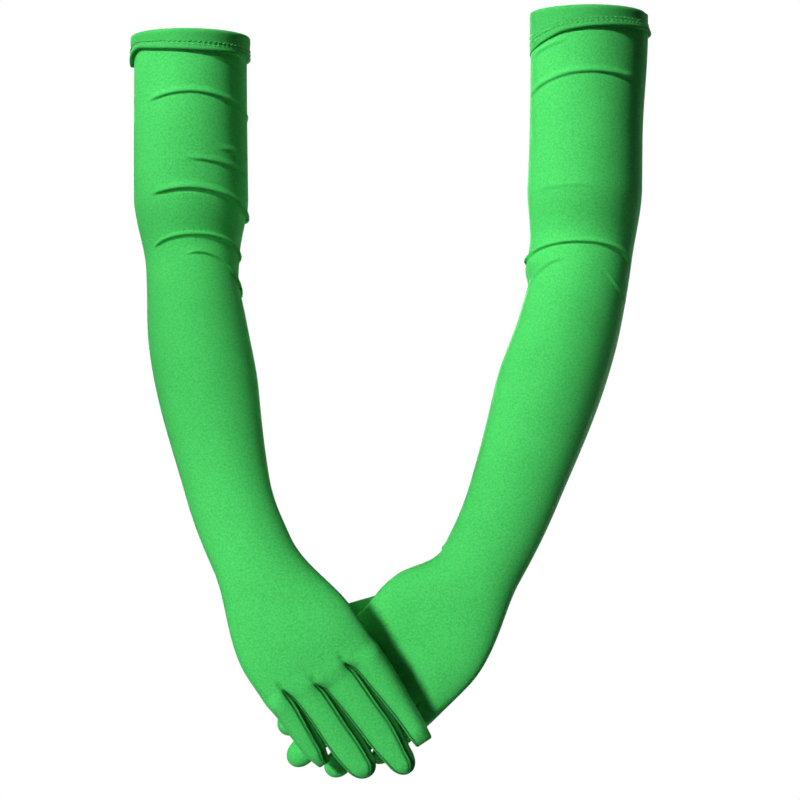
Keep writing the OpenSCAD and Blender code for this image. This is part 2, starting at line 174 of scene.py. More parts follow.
# Parts of a fold: share of its height, millimetres above its path, and half width
FOLD_ROLL = (0.5, 1.2, 1.5)
FOLD_TUCK = (0.1, -1.7, 1.3)
FOLD_SAG = (0.4, 0.9, 1.4)
# Cloth above a fold: share of its height, where it starts under the path, how fast it rises and dies away
FOLD_HANG = (0.14, 0.6, 1.8, 7.0)
# Degrees over which a fold fades at its ends, and the highest power in the curve through its path
FOLD_FADE = 18.0
FOLD_CURVE = 4

# Depth of the turned hem round the cuff: degrees from the thumb side, and millimetres
HEM_DEPTH = {
    "left": (
        (-180, 15), (-90, 18), (0, 27), (13, 26), (43, 21), (62, 17), (84, 15), (110, 13.8), (148, 13.5), (180, 15),
    ),
    "right": (
        (-180, 20), (-140, 15), (-60, 15), (0, 16), (29, 15), (74, 14.5), (121, 12.8), (148, 11.5), (165, 15),
        (180, 20),
    ),
}
# Where the hem flares: degrees from the thumb side, spread in degrees, and millimetres
HEM_FLARE = {"left": (176, 42, 3.6), "right": (168, 20, 0.7)}
# Where the hem lies flat on the sleeve: degrees from the thumb side, spread in degrees, and share of its height
HEM_FLAT = {"left": (0, 42, 0.85), "right": (-90, 30, 0.0)}


class GloveSizes(bpy.types.PropertyGroup):
    """Sizes of one glove, the same on both hands unless they say so"""

    cloth: FloatProperty(name="Cloth", description="Thickness of the stretch knit", default=1.2 * MM, unit="LENGTH")
    palm: FloatProperty(name="Palm", description="Finger roots to wrist", default=84 * MM, unit="LENGTH")
    forearm: FloatProperty(name="Forearm", description="Wrist to elbow fold", default=222 * MM, unit="LENGTH")
    left_upper: FloatProperty(
        name="Left upper sleeve", description="Elbow fold to cuff edge", default=162 * MM, unit="LENGTH"
    )
    right_upper: FloatProperty(
        name="Right upper sleeve", description="Elbow fold to cuff edge", default=151 * MM, unit="LENGTH"
    )
    hand_width: FloatProperty(
        name="Hand width", description="Across the finger roots", default=74.9 * MM, unit="LENGTH"
    )
    hand_thick: FloatProperty(
        name="Hand thickness", description="Through the hand at the finger roots", default=27 * MM, unit="LENGTH"
    )
    wrist_width: FloatProperty(name="Wrist width", description="Across the wrist", default=50.5 * MM, unit="LENGTH")
    wrist_thick: FloatProperty(name="Wrist thickness", description="Through the wrist", default=40 * MM, unit="LENGTH")
    forearm_girth: FloatProperty(
        name="Forearm diameter", description="Thickest part of the forearm", default=67 * MM, unit="LENGTH"
    )
    elbow_girth: FloatProperty(name="Elbow diameter", description="At the elbow", default=61.5 * MM, unit="LENGTH")
    upper_girth: FloatProperty(
        name="Upper sleeve diameter", description="Below the hem", default=75 * MM, unit="LENGTH"
    )
    cuff_bore: FloatProperty(name="Cuff opening", description="Inside the hem", default=71 * MM, unit="LENGTH")
    finger_lengths: FloatVectorProperty(
        name="Finger lengths", description="Index, middle, ring and little finger", size=4,
        default=(77 * MM, 88 * MM, 77 * MM, 54 * MM), unit="LENGTH",
    )
    finger_widths: FloatVectorProperty(
        name="Finger widths", description="Index, middle, ring and little finger", size=4,
        default=(20.2 * MM, 20 * MM, 17.2 * MM, 14 * MM), unit="LENGTH",
    )
    finger_thick: FloatProperty(
        name="Finger thickness", description="Through a finger", default=16.5 * MM, unit="LENGTH"
    )
    thumb_width: FloatProperty(name="Thumb width", description="Across the thumb", default=18 * MM, unit="LENGTH")
    thumb_length: FloatProperty(
        name="Thumb length", description="Thumb beyond its root", default=50 * MM, unit="LENGTH"
    )
    stitches: IntProperty(name="Hem stitches", description="Stitches in a row round the hem", default=74, min=12)


class GloveFinish(bpy.types.PropertyGroup):
    """Colours of the knit and its thread, and the size of its grain"""

    knit: FloatVectorProperty(
        name="Knit", description="Colour of the cloth", subtype="COLOR", size=3, default=(0.078, 0.640, 0.136)
    )
    shade: FloatVectorProperty(
        name="Knit between loops", description="Darker yarn in the grain", subtype="COLOR", size=3,
        default=(0.047, 0.455, 0.088),
    )
    thread: FloatVectorProperty(
        name="Thread", description="Colour of the sewing thread", subtype="COLOR", size=3, default=(0.050, 0.44, 0.085)
    )
    grain: FloatProperty(name="Grain", description="Size of the knit's speckle", default=1.1 * MM, unit="LENGTH")


class GloveStage(bpy.types.PropertyGroup):
    """Floor and lights"""

    floor_drop: FloatProperty(
        name="Floor", description="How far the floor lies below the finger roots", default=0.35, unit="LENGTH"
    )
    floor_color: FloatVectorProperty(
        name="Floor colour", description="Pale floor", subtype="COLOR", size=3, default=(0.95, 0.95, 0.95)
    )
    key: FloatProperty(
        name="Key light", description="Light on the sleeves, high on the left", default=1.42, unit="POWER"
    )
    low: FloatProperty(name="Low light", description="Light on the hands, from the front", default=0.77, unit="POWER")
    side: FloatProperty(name="Side light", description="Weak light from the left", default=0.75, unit="POWER")
    rear: FloatProperty(name="Rear light", description="Light on the palm sides", default=4.4, unit="POWER")
    right: FloatProperty(name="Right light", description="Weak light from the right", default=1.3, unit="POWER")
    ambient: FloatProperty(name="Ambient", description="Strength of the surrounding light", default=0.02)


def ease(t):
    """Smooth step from 0 to 1."""
    t = np.clip(t, 0, 1)
    return t * t * (3 - 2 * t)


def eased(keys, at):
    """Smooth curve through pairs of place and value."""
    place, value = np.array(keys, float).T
    at = np.asarray(at, float)
    i = np.clip(np.searchsorted(place, at, side="right") - 1, 0, len(place) - 2)
    t = ease((at - place[i]) / (place[i + 1] - place[i]))
    return value[i] + (value[i + 1] - value[i]) * t


def flowing(keys, at):
    """Flowing curve through pairs of place and value, with no flat spots."""
    place, value = np.array(keys, float).T
    slope = np.gradient(value, place)
    at = np.clip(np.asarray(at, float), place[0], place[-1])
    i = np.clip(np.searchsorted(place, at, side="right") - 1, 0, len(place) - 2)
    gap = place[i + 1] - place[i]
    t = (at - place[i]) / gap
    ends = value[i] + (value[i + 1] - value[i]) * ease(t)
    return ends + gap * t * (1 - t) * (slope[i] * (1 - t) - slope[i + 1] * t)


def unit(v):
    """The same direction with a length of one."""
    return v / np.linalg.norm(v, axis=-1, keepdims=True)


def signed_power(x, e):
    """Power that keeps the sign."""
    return np.sign(x) * np.abs(x) ** e


def bump(x, width):
    """Bell curve of a given half width."""
    return np.exp(-((x / width) ** 2))


def ridge(shape, x):
    """Bell curve of a given height, place and half width."""
    height, place, width = shape
    return height * bump(x - place, width)


def wrapped(degrees):
    """The same turn, between -180 and 180 degrees."""
    return (degrees + 180) % 360 - 180


# Stations that shape a glove, in millimetres from the finger roots, the wrist, the elbow or the cuff
KNUCKLES = 16.0
WRIST_LOW = 7.0
WRIST_RUN = 10.0
FOREARM_LOW = 50.0
FOREARM_FULL = 60.0
ELBOW_BEND = 40.0
UPPER_FULL = 45.0
CUFF_STRAIGHT = 28.0
HEM_RUN = 14.0
PAST_CUFF = 30.0
TUCK_FROM = 110.0
TUCK_FULL = 50.0
FLARE_FROM = 85.0
FLARE_RUN = 70.0
# Millimetres that the knuckles rise and that the sleeve stands out from the cuff's opening
KNUCKLE_RISE = 0.5
CUFF_WALL = 1.5
# The thumb side's fill at the finger roots as a share, and the power that squares the hand's section there
ROOT_FILL = 0.55
HAND_SQUARE = 0.72


class GloveForm:
    """Middle line and sections of one glove, in millimetres up the glove from the finger roots."""

    # Millimetres between points of the middle line
    step = 1.0

    def __init__(self, side):
        size = bpy.context.scene.glove_sizes
        pose = POSE[side]

        def half(name):
            return getattr(size, name) / MM / 2

        self.side = side
        self.pose = pose
        self.wrist = size.palm / MM
        self.elbow = self.wrist + size.forearm / MM
        self.cuff = self.elbow + getattr(size, side + "_upper") / MM
        self.hem_top = self.cuff - pose["hem_drop"]
        lean, slope = pose["lean"], pose["slope"]
        w, e, c = self.wrist, self.elbow, self.cuff
        self.lean = (
            (0, lean[0]), (w, lean[1]), (w + FOREARM_LOW, lean[2]), (e - ELBOW_BEND, lean[3]),
            (e + ELBOW_BEND, lean[4]), (c - CUFF_STRAIGHT, 0), (c, 0),
        )
        self.slope = (
            (0, slope[0]), (w / 2, slope[1]), (w, slope[2]), (w + FOREARM_LOW, slope[3]), (e - ELBOW_BEND, slope[3]),
            (e + ELBOW_BEND, 0), (c, 0),
        )
        self.at = np.arange(0, c + PAST_CUFF, self.step)
        roots = np.array(pose["roots"])
        steps = self.up(self.at[:-1] + self.step / 2) * self.step
        self.line = np.vstack([roots, roots + np.cumsum(steps, axis=0)])
        sleeve = (
            (e - FOREARM_FULL, half("forearm_girth")), (e, half("elbow_girth")), (e + UPPER_FULL, half("upper_girth")),
            (c - HEM_RUN, half("cuff_bore") + CUFF_WALL), (c, half("cuff_bore") + CUFF_WALL),
        )
        self.widths = (
            (0, half("hand_width")), (KNUCKLES, half("hand_width")), (w - WRIST_LOW, half("wrist_width")),
            (w + WRIST_RUN, half("wrist_width")),
        ) + sleeve
        self.thicks = (
            (0, half("hand_thick")), (KNUCKLES, half("hand_thick") + KNUCKLE_RISE), (w, half("wrist_thick")),
            (w + WRIST_RUN, half("wrist_thick")),
        ) + sleeve

    def up(self, s):
        """Direction up the glove at a station."""
        lean = np.radians(-self.pose["thumb_side"] * eased(self.lean, s))
        slope = np.radians(eased(self.slope, s))
        return np.stack([np.sin(lean) * np.cos(slope), np.sin(slope), np.cos(lean) * np.cos(slope)], -1)

    def axes(self, s):
        """Up the glove, to the back of the hand, and to the thumb side."""
        up = self.up(np.maximum(s, 0))
        back = unit(np.array([0.0, -1.0, 0.0]) + up[..., 1:2] * up)
        return up, back, self.pose["thumb_side"] * np.cross(up, back)

    def middle(self, s):
        """Point of the middle line, which runs on straight below the finger roots."""
        s = np.asarray(s, float)
        on_line = np.stack([np.interp(s, self.at, self.line[:, k]) for k in range(3)], -1)
        return on_line + np.minimum(s, 0)[..., None] * self.up(np.zeros_like(s))

    def place(self, s, u, v):
        """Point at a station, u to the thumb side and v to the back of the hand."""
        _, back, thumb = self.axes(s)
        return self.middle(s) + thumb * u[..., None] + back * v[..., None]

    def thumb_fill(self, s):
        """How far the thumb side of the hand stands out."""
        keys = ((0, ROOT_FILL), (self.wrist / 2, 1), (self.wrist - WRIST_RUN, 0), (self.cuff, 0))
        return self.pose["thumb_fill"] * eased(keys, np.maximum(s, 0))

    def squareness(self, s):
        """Power of the section: one is an ellipse, less is squarer."""
        return eased(((0, HAND_SQUARE), (self.wrist, 1), (self.elbow, 1)), s)

    def section(self, s, angle, swell=0.0):
        """u and v of the glove's surface at a station and an angle from the thumb side."""
        w, e, c, pose = self.wrist, self.elbow, self.cuff, self.pose
        cos, sin, power = np.cos(angle), np.sin(angle), self.squareness(s)
        filled = ((w - FOREARM_LOW, 0), (w + FOREARM_LOW, 1), (e, 1), (e + UPPER_FULL, 0), (c, 0))
        fill = pose["forearm_fill"] * eased(filled, s) + pose["elbow_fill"] * bump(s - e, ELBOW_BEND)
        deep, low, top = pose["elbow_tuck"]
        tuck = deep * eased(((e - TUCK_FROM, 0), (e - TUCK_FULL, 1), (e + low, 1), (e + top, 0), (c, 0)), s)
        flare = pose["cuff_flare"] * ease((s - c + FLARE_FROM) / FLARE_RUN) * np.maximum(-cos, 0) ** 2
        a = eased(self.widths, s) + fill + swell + flare + np.where(cos > 0, self.thumb_fill(s) - tuck, 0)
        b = eased(self.thicks, s) + swell
        return a * signed_power(cos, power), b * signed_power(sin, power)

    def folds(self, s, angle):
        """Height and sag of the sleeve's folds: cloth hangs over each fold line and is drawn in under it."""
        degrees = (np.degrees(angle) + 90) % 360 - 90
        height = np.zeros(np.broadcast(s, angle).shape)
        sag = np.zeros_like(height)
        hang_share, hang_from, hang_rise, hang_run = FOLD_HANG
        for path, high in FOLDS[self.side]:
            turn, above = np.array(sorted(path), float).T
            curve = np.polyfit(turn, above, min(FOLD_CURVE, len(path) - 1))
            x = s - (self.elbow + np.polyval(curve, np.clip(degrees, turn[0], turn[-1])))
            shown = ease((degrees - turn[0]) / FOLD_FADE) * ease((turn[-1] - degrees) / FOLD_FADE)
            hang = hang_share * ease((x + hang_from) / hang_rise) * np.exp(-np.maximum(x, 0) / hang_run)
            height += high * shown * (ridge(FOLD_ROLL, x) + hang - ridge(FOLD_TUCK, x))
            sag += high * shown * ridge(FOLD_SAG, x)
        return height, sag


# Cells across the back and the palm of each finger, round the hand's sides, and across a web
BACK_CELLS = 30
PALM_CELLS = 14
SIDE_CELLS = 16
WEB_CELLS = 12
# How strongly cells crowd to the ends of a row, and the share of even spacing where they crowd to the middle
END_CROWDING = 0.7
EVEN_SHARE = 0.15
# Degrees that the rounded sides of the hand and the strips of the fingers take up, on each side of their middle
SIDE_ANGLE = 25.0
STRIP_ANGLE = 34.0
# The webs between the fingers, in millimetres: spread and run of the valley above, and bulge of the web itself
WEB_SPREAD = 1.9
WEB_RUN = 8.0
WEB_BULGE = 2.5
# How far each finger's root is crowned, where on the section that starts, and the power that ends the valleys
ROOT_CROWN = 0.3
CROWN_FROM = 0.5
VALLEY_POWER = 0.3
# Width of the hand that the fingers leave free
ROOT_SPARE = 0.5


def spaced(count):
    """Places from 0 to 1, closer together at both ends."""
    x = np.linspace(0, 1, count + 1)
    return x - END_CROWDING * np.sin(2 * np.pi * x) / (2 * np.pi)


def gathered(count):
    """Places from -1 to 1, closer together in the middle."""
    x = np.linspace(-1, 1, count + 1)
    return EVEN_SHARE * x + (1 - EVEN_SHARE) * x ** 3


class HandRing:
    """Columns round the hand: the backs of the fingers, the little side, the palm sides and the thumb side."""

    def __init__(self, form):
        size = bpy.context.scene.glove_sizes
        self.form = form
        widths = np.array(size.finger_widths) / MM
        self.gap = (size.hand_width / MM - ROOT_SPARE - widths.sum()) / 3
        start = widths.sum() / 2 + 1.5 * self.gap
        self.centre = start - np.concatenate([[0], np.cumsum(widths + self.gap)[:-1]]) - widths / 2
        self.bounds = self.centre[1:] + widths[1:] / 2 + self.gap / 2
        half = size.hand_width / MM / 2
        thumb_half = half + float(form.thumb_fill(0.0))
        power = float(form.squareness(0.0))
        side = math.radians(SIDE_ANGLE)
        edge = math.cos(side) ** power
        ends = np.concatenate([[thumb_half * edge], self.bounds, [-half * edge]])

        def angles(u):
            share = np.where(u > 0, u / thumb_half, -u / half)
            turn = np.arccos(np.clip(share, 0, 1) ** (1 / power))
            return np.where(u > 0, turn, np.pi - turn)

        def across(cells):
            rows = [ends[f] + (ends[f + 1] - ends[f]) * spaced(cells) for f in range(4)]
            return np.concatenate([r[:-1] for r in rows] + [[ends[4]]])

        back, palm = across(BACK_CELLS), across(PALM_CELLS)[::-1]
        self.angle = np.concatenate([
            angles(back),
            np.pi + side * gathered(SIDE_CELLS)[1:-1],
            2 * np.pi - angles(palm),
            2 * np.pi + side * gathered(SIDE_CELLS)[1:],
        ])
        little_turn = np.full(SIDE_CELLS - 1, ends[4])
        thumb_turn = np.full(SIDE_CELLS, ends[0])
        self.across = np.concatenate([back, little_turn, palm, thumb_turn])
        self.rim = np.interp(-self.across, -ends, form.pose["web_stations"])
        self.palm_from = 4 * BACK_CELLS + SIDE_CELLS

    def section(self, s, swell=0.0):
        """u and v round the hand, with a valley above each web between the fingers."""
        u, v = self.form.section(s, self.angle, swell)
        run = ease((self.rim + WEB_RUN - s) / WEB_RUN)
        valley = sum(bump(self.across - b, WEB_SPREAD) for b in self.bounds)
        facing = np.abs(np.sin(self.angle))
        depth = self.form.pose["web_valley"] * run ** 2 * valley * facing ** VALLEY_POWER
        crown = ROOT_CROWN * run * (1 - np.clip(valley, 0, 1)) * (facing > CROWN_FROM)
        return u, v - np.sign(v) * (depth - crown)

    def back_columns(self, f):
        """Columns on the back of a finger."""
        return np.arange(f * BACK_CELLS, (f + 1) * BACK_CELLS + 1)

    def palm_columns(self, f):
        """Columns on the palm side of a finger."""
        first = self.palm_from + (3 - f) * PALM_CELLS
        return np.arange(first, first + PALM_CELLS + 1)

    def little_side(self):
        """Columns round the little side of the hand."""
        return np.arange(4 * BACK_CELLS, self.palm_from + 1)

    def thumb_side(self):
        """Columns round the thumb side of the hand."""
        return np.arange(self.palm_from + 4 * PALM_CELLS, len(self.angle))


# Rows along a finger: millimetres apart, then the length and the number of rows of a round and of a square tip
FINGER_ROW = 0.85
ROUND_LONG, ROUND_ROWS = 10.0, 14
SQUARE_LONG, SQUARE_ROWS = 13.0, 16
# Half widths of the tips sewn straight across
SQUARE_TIPS = {"left": {}, "right": {"index": 5.6, "little": 4.0}}
# A square tip: how far short of its half width it ends, how its corners draw in at the end, and its dome's power
SQUARE_START = 0.1
SQUARE_CORNER = (0.9, 0.0, 0.06)
SQUARE_DOME = 1.1
# A finger's section: flat of its sides, room between neighbours, power at the root and what the tip adds to it
SIDE_FLAT = 0.25
SIDE_CLEAR = 0.06
FINGER_SQUARE = (0.80, 0.16)
# Share of the length over which the front draws in
FRONT_DRAW = 0.2
# Millimetres from a finger's side to its seams, at the root and at the tip, and how fast the thumb side's changes
THUMB_SEAM = (1.3, 4.6)
THUMB_SEAM_RUN = 1.6
LITTLE_SEAM = (0.8, 1.2)
# A sewn side, in millimetres: the seam's half width and depth, then height, place and half width of welt and lip
SEAM_HALF = 0.55
SEAM_GROOVE = 0.45
WELT = (0.3, -0.85, 0.45)
LIP = (0.25, 1.0, 0.6)
# The side strip, in millimetres: room to the welt, how softly it starts, depth, and slope of its wall
STRIP_ROOM = 0.4
STRIP_SOFT = 0.7
STRIP_DEEP = 1.1
STRIP_WALL = 0.8
# Where the sewing settles in below the root, and fades out towards a plain tip and at the very end
SETTLE_RUN = 2.5
PLAIN_RUN = 0.1
END_FADE = 3.0
# Least half size that a surface direction is worked out from
LEAST_HALF = 0.5


def finger_root(ring, f):
    """Loop round a finger's root on the hand, as u, v and station, and where each point turns to on the finger."""
    root_u, root_v = ring.section(ring.rim)

    def web(bound):
        """Points across a web from the back of the hand to the palm."""
        top, low = bound * BACK_CELLS, ring.palm_from + (4 - bound) * PALM_CELLS
        t = np.linspace(0, 1, WEB_CELLS + 1)[1:-1]
        return (
            root_u[top] + (root_u[low] - root_u[top]) * t,
            root_v[top] + (root_v[low] - root_v[top]) * t,
            ring.rim[top] - WEB_BULGE * np.sin(np.pi * t),
        )

    def hand(columns):
        return root_u[columns], root_v[columns], ring.rim[columns]

    def beside(middle, half_turn, cells):
        return np.linspace(middle - half_turn, middle + half_turn, cells + 1)[1:-1]

    first, last = f == 0, f == len(FINGERS) - 1
    thumb_turn = math.radians(SIDE_ANGLE if first else STRIP_ANGLE)
    little_turn = math.radians(SIDE_ANGLE if last else STRIP_ANGLE)
    face = np.pi - thumb_turn - little_turn
    parts = [
        hand(ring.back_columns(f)),
        hand(ring.little_side()[1:-1]) if last else web(f + 1),
        hand(ring.palm_columns(f)),
        hand(ring.thumb_side()[1:-1]) if first else tuple(x[::-1] for x in web(f)),
    ]
    turn = np.concatenate([
        thumb_turn + face * spaced(BACK_CELLS),
        beside(np.pi, little_turn, SIDE_CELLS if last else WEB_CELLS),
        np.pi + little_turn + face * spaced(PALM_CELLS),
        beside(0, thumb_turn, SIDE_CELLS if first else WEB_CELLS),
    ])
    root = [np.concatenate(x) for x in zip(*parts)]
    return [np.append(x, x[0]) for x in root], np.append(turn, turn[0])


def finger_grid(form, ring, f):
    """Rows of points from a finger's root on the hand to its tip, with its seam and side strip marks."""
    size = bpy.context.scene.glove_sizes
    name, pose = FINGERS[f], form.pose
    length = size.finger_lengths[f] / MM + pose["finger_reach"][f]
    half_w = size.finger_widths[f] / MM / 2 + ring.gap / 2 - SIDE_CLEAR
    half_t = size.finger_thick / MM / 2
    root_t = size.hand_thick / MM / 2
    (root_u, root_v, root_s), turn = finger_root(ring, f)

    # Rows down to the tip, and how far along the finger and into the tip they are
    tip = SQUARE_TIPS[form.side].get(name)
    if tip:
        zone, end = SQUARE_LONG, np.linspace(0, 1, SQUARE_ROWS + 1)
    else:
        zone, end = ROUND_LONG, np.sin(np.linspace(0, np.pi / 2, ROUND_ROWS + 1))
    run = np.arange(0, length - zone, FINGER_ROW) / length
    share = np.concatenate([run, 1 - zone / length * (1 - end)])[:, None]
    s = root_s + (-length - root_s) * share
    x = np.clip((length + s) / zone, 0, 1)
    dome = np.sqrt(np.maximum(0, 1 - (1 - x) ** 2))
    along = np.clip(-s / length, 0, 1)
    below = np.maximum(-s, 0)

    # The plain section
    thumb_drift, little_drift = (
        flowing(slit, below) + eased(own, below) for slit, own in pose["finger_sides"][name]
    )
    wide = half_w + (thumb_drift - little_drift) / 2
    back_t = half_t + (root_t - half_t) * (1 - along)
    front_t = half_t + (root_t - half_t) * (1 - ease(along / FRONT_DRAW))
    if tip:
        a = tip + (wide - tip) * ease(x * (1 - SQUARE_START) + SQUARE_START) - ridge(SQUARE_CORNER, x)
        dome = dome ** SQUARE_DOME
    else:
        a = wide * dome
    power = FINGER_SQUARE[0] + FINGER_SQUARE[1] * along
    own_u = np.clip((a + SIDE_FLAT) * signed_power(np.cos(turn), power), -a, a)
    b = np.where(np.sin(turn) > 0, back_t, front_t) * dome
    own_v = b * signed_power(np.sin(turn), power)

    # Seams, welts and strips on the sides that face another finger
    slope = np.abs(np.gradient(a, axis=0)) / np.maximum(np.abs(np.gradient(s, axis=0)), 1e-6)
    inset = (a - np.abs(own_u)) / np.sqrt(1 + slope ** 2)
    seam_at = np.where(
        own_u > 0, THUMB_SEAM[0] + (THUMB_SEAM[1] - THUMB_SEAM[0]) * ease(along * THUMB_SEAM_RUN),
        LITTLE_SEAM[0] + (LITTLE_SEAM[1] - LITTLE_SEAM[0]) * along,
    )
    settled = ease((root_s - s - pose["slit_from"]) / SETTLE_RUN)
    settled = settled * (1 - ease((along - pose["tip_plain"]) / PLAIN_RUN))
    sewn = np.where(own_u > 0, f > 0, f < 3) * settled
    past = inset - seam_at
    # The seam and strip marks also tell the knit where to paint shade into the seams' grooves and the side strips
    seam = bump(past, SEAM_HALF) * sewn
    strip = ease((WELT[1] - STRIP_ROOM - past) / STRIP_SOFT) * sewn
    recess = strip * ease(inset / STRIP_WALL)
    raised = (ridge(WELT, past) + ridge(LIP, past)) * sewn - SEAM_GROOVE * seam - STRIP_DEEP * recess
    raised = raised * np.minimum(1, x * END_FADE)
    normal = unit(
        np.stack([own_u / np.maximum(a, LEAST_HALF) ** 2, own_v / np.maximum(b, LEAST_HALF) ** 2], -1) + 1e-9
    )
    middle = ring.centre[f] + (thumb_drift + little_drift) / 2
    own_u = own_u + raised * normal[..., 0] + middle
    own_v = own_v + raised * normal[..., 1]

    # From the root on the hand to the finger's own section
    blend = ease((root_s - s) / pose["root_draw"])
    u = root_u + (own_u - root_u) * blend
    v = root_v + (own_v - root_v) * blend
    return form.place(s, u, v), {"seam": seam, "strip": strip}


# How near two points of neighbouring grids are when they are sewn together
SEWN_WITHIN = 0.02 * MM
# Marks that are needed only until the cloth is cut
WORKING_MARKS = ("drape", "piece")


def new_cloth():
    """An empty mesh with the marks that the knit uses."""
    bm = bmesh.new()
    bm.verts.layers.float.new("seam")
    bm.verts.layers.float.new("strip")
    bm.verts.layers.float_vector.new("drape")
    bm.faces.layers.int.new("piece")
    return bm


def lay(bm, points, pieces, marks):
    """Lays a grid of cloth over rows of points and notes each cell's piece and each point's marks."""
    rows, columns = points.shape[:2]
    first = len(bm.faces)
    made = bmesh.ops.create_grid(bm, x_segments=columns - 1, y_segments=rows - 1, size=1.0)
    verts = made["verts"]
    if len(verts) != rows * columns:
        raise RuntimeError(f"grid has {len(verts)} points, not {rows * columns}")
    for vert, point in zip(verts, points.reshape(-1, 3) * MM):
        vert.co = point
    for name, values in marks.items():
        layer = bm.verts.layers.float[name]
        for vert, value in zip(verts, np.broadcast_to(values, (rows, columns)).ravel()):
            vert[layer] = value
    layer = bm.faces.layers.int["piece"]
    bm.faces.ensure_lookup_table()
    for k in range(first, len(bm.faces)):
        bm.faces[k][layer] = pieces[(k - first) // (columns - 1)]


def sew(bm):
    """Joins the grids at their shared edges, turns the cloth outwards and keeps its smooth normals."""
    bmesh.ops.remove_doubles(bm, verts=bm.verts, dist=SEWN_WITHIN)
    bmesh.ops.recalc_face_normals(bm, faces=bm.faces)
    bm.normal_update()
    layer = bm.verts.layers.float_vector["drape"]
    for vert in bm.verts:
        vert[layer] = vert.normal


def drop_marks(mesh):
    """Removes the working marks."""
    for name in WORKING_MARKS:
        mesh.attributes.remove(mesh.attributes[name])


def cut_piece(bm, piece, name, material):
    """One piece of the sewn cloth, with its thickness added on the inside."""
    part = bm.copy()
    layer = part.faces.layers.int["piece"]
    bmesh.ops.delete(part, geom=[f for f in part.faces if f[layer] != piece], context="FACES")
    mesh = bpy.data.meshes.new(name)
    part.to_mesh(mesh)
    part.free()
    count = len(mesh.vertices)
    drape = np.zeros(count * 3, np.float32)
    mesh.attributes["drape"].data.foreach_get("vector", drape)
    drape = drape.reshape(-1, 3)
    drop_marks(mesh)
    obj = bpy.data.objects.new(name, mesh)
    bpy.context.collection.objects.link(obj)
    wall = obj.modifiers.new("wall", "SOLIDIFY")
    wall.thickness = bpy.context.scene.glove_sizes.cloth
    wall.offset = -1
    graph = bpy.context.evaluated_depsgraph_get()
    walled = bpy.data.meshes.new_from_object(obj.evaluated_get(graph))
    obj.modifiers.remove(wall)
    obj.data = walled
    bpy.data.meshes.remove(mesh)
    walled.name = name
    walled.polygons.foreach_set("use_smooth", [True] * len(walled.polygons))
    if len(walled.vertices) != 2 * count:
        raise RuntimeError(f"{name} has {len(walled.vertices)} points, not {2 * count}")
    walled.normals_split_custom_set_from_vertices(np.concatenate([drape, -drape]).tolist())
    walled.materials.append(material)
    return obj


def smooth_piece(bm, name, material):
    """A smooth object of a finished mesh."""
    mesh = bpy.data.meshes.new(name)
    bm.to_mesh(mesh)
    bm.free()
    mesh.polygons.foreach_set("use_smooth", [True] * len(mesh.polygons))
    mesh.materials.append(material)
    obj = bpy.data.objects.new(name, mesh)
    bpy.context.collection.objects.link(obj)
    return obj


class Shade:
    """A shader socket that takes part in Python arithmetic."""

    def __init__(self, tree, socket):
        self.tree = tree
        self.socket = socket

    @staticmethod
    def node(tree, kind, settings=None, inputs=None, output=0):
        """Adds a node, sets it up, fills or links its sockets and returns one output."""
        made = tree.nodes.new(kind)
        for key, value in (settings or {}).items():
            setattr(made, key, value)
        for key, value in (inputs or {}).items():
            if isinstance(value, Shade):
                tree.links.new(value.socket, made.inputs[key])
            else:
                made.inputs[key].default_value = value
        return Shade(tree, made.outputs[output]) if made.outputs else made

    def math(self, operation, other, swap=False):
        """A Math node of this value and another."""
        first, second = (other, self) if swap else (self, other)
        return Shade.node(self.tree, "ShaderNodeMath", {"operation": operation}, {0: first, 1: second})

    def __add__(self, other):
        return self.math("ADD", other)

    def __radd__(self, other):
        return self.math("ADD", other, True)

    def __sub__(self, other):
        return self.math("SUBTRACT", other)

    def __rsub__(self, other):
        return self.math("SUBTRACT", other, True)

    def __mul__(self, other):
        return self.math("MULTIPLY", other)

    def __rmul__(self, other):
        return self.math("MULTIPLY", other, True)

    def mix(self, low, high):
        """Colour between low and high by this value, through the colour sockets of a Mix node."""
        return Shade.node(self.tree, "ShaderNodeMix", {"data_type": "RGBA"}, {0: self, 6: low, 7: high}, output=2)


# The knit's grain: scale of its broad patches, how strongly fine and broad speckle mix its two colours, and their level
PATCH_SCALE = 38.0
FINE_SPECKLE = 3.0
BROAD_SPECKLE = 0.5
SPECKLE_LEVEL = 0.66
# Painted shade in the seams' grooves and in the side strips between the fingers: how dark it is, and how much of it the
# side strips and the seams take
PAINTED_SHADE = 0.13
STRIP_PAINTED_SHADE = 0.74
SEAM_PAINTED_SHADE = 0.9
# Roughness of knit and thread, and what their grain adds to it
KNIT_ROUGH = (0.58, 0.18)
THREAD_ROUGH = (0.4, 0.2)
# Scale of the thread's plies, and shade of the darker and the lighter one
PLY_SCALE = 2600.0
PLY_SHADES = (0.8, 1.25)
# Shade of the turned knit of the hems
HEM_TINT = 0.78


def tinted(color, share):
    """A share of a colour, with full alpha."""
    return [c * share for c in color] + [1.0]


def new_material(name):
    """A material with no nodes yet, and its node tree."""
    material = bpy.data.materials.new(name)
    material.use_nodes = True
    tree = material.node_tree
    tree.nodes.clear()
    return material, tree


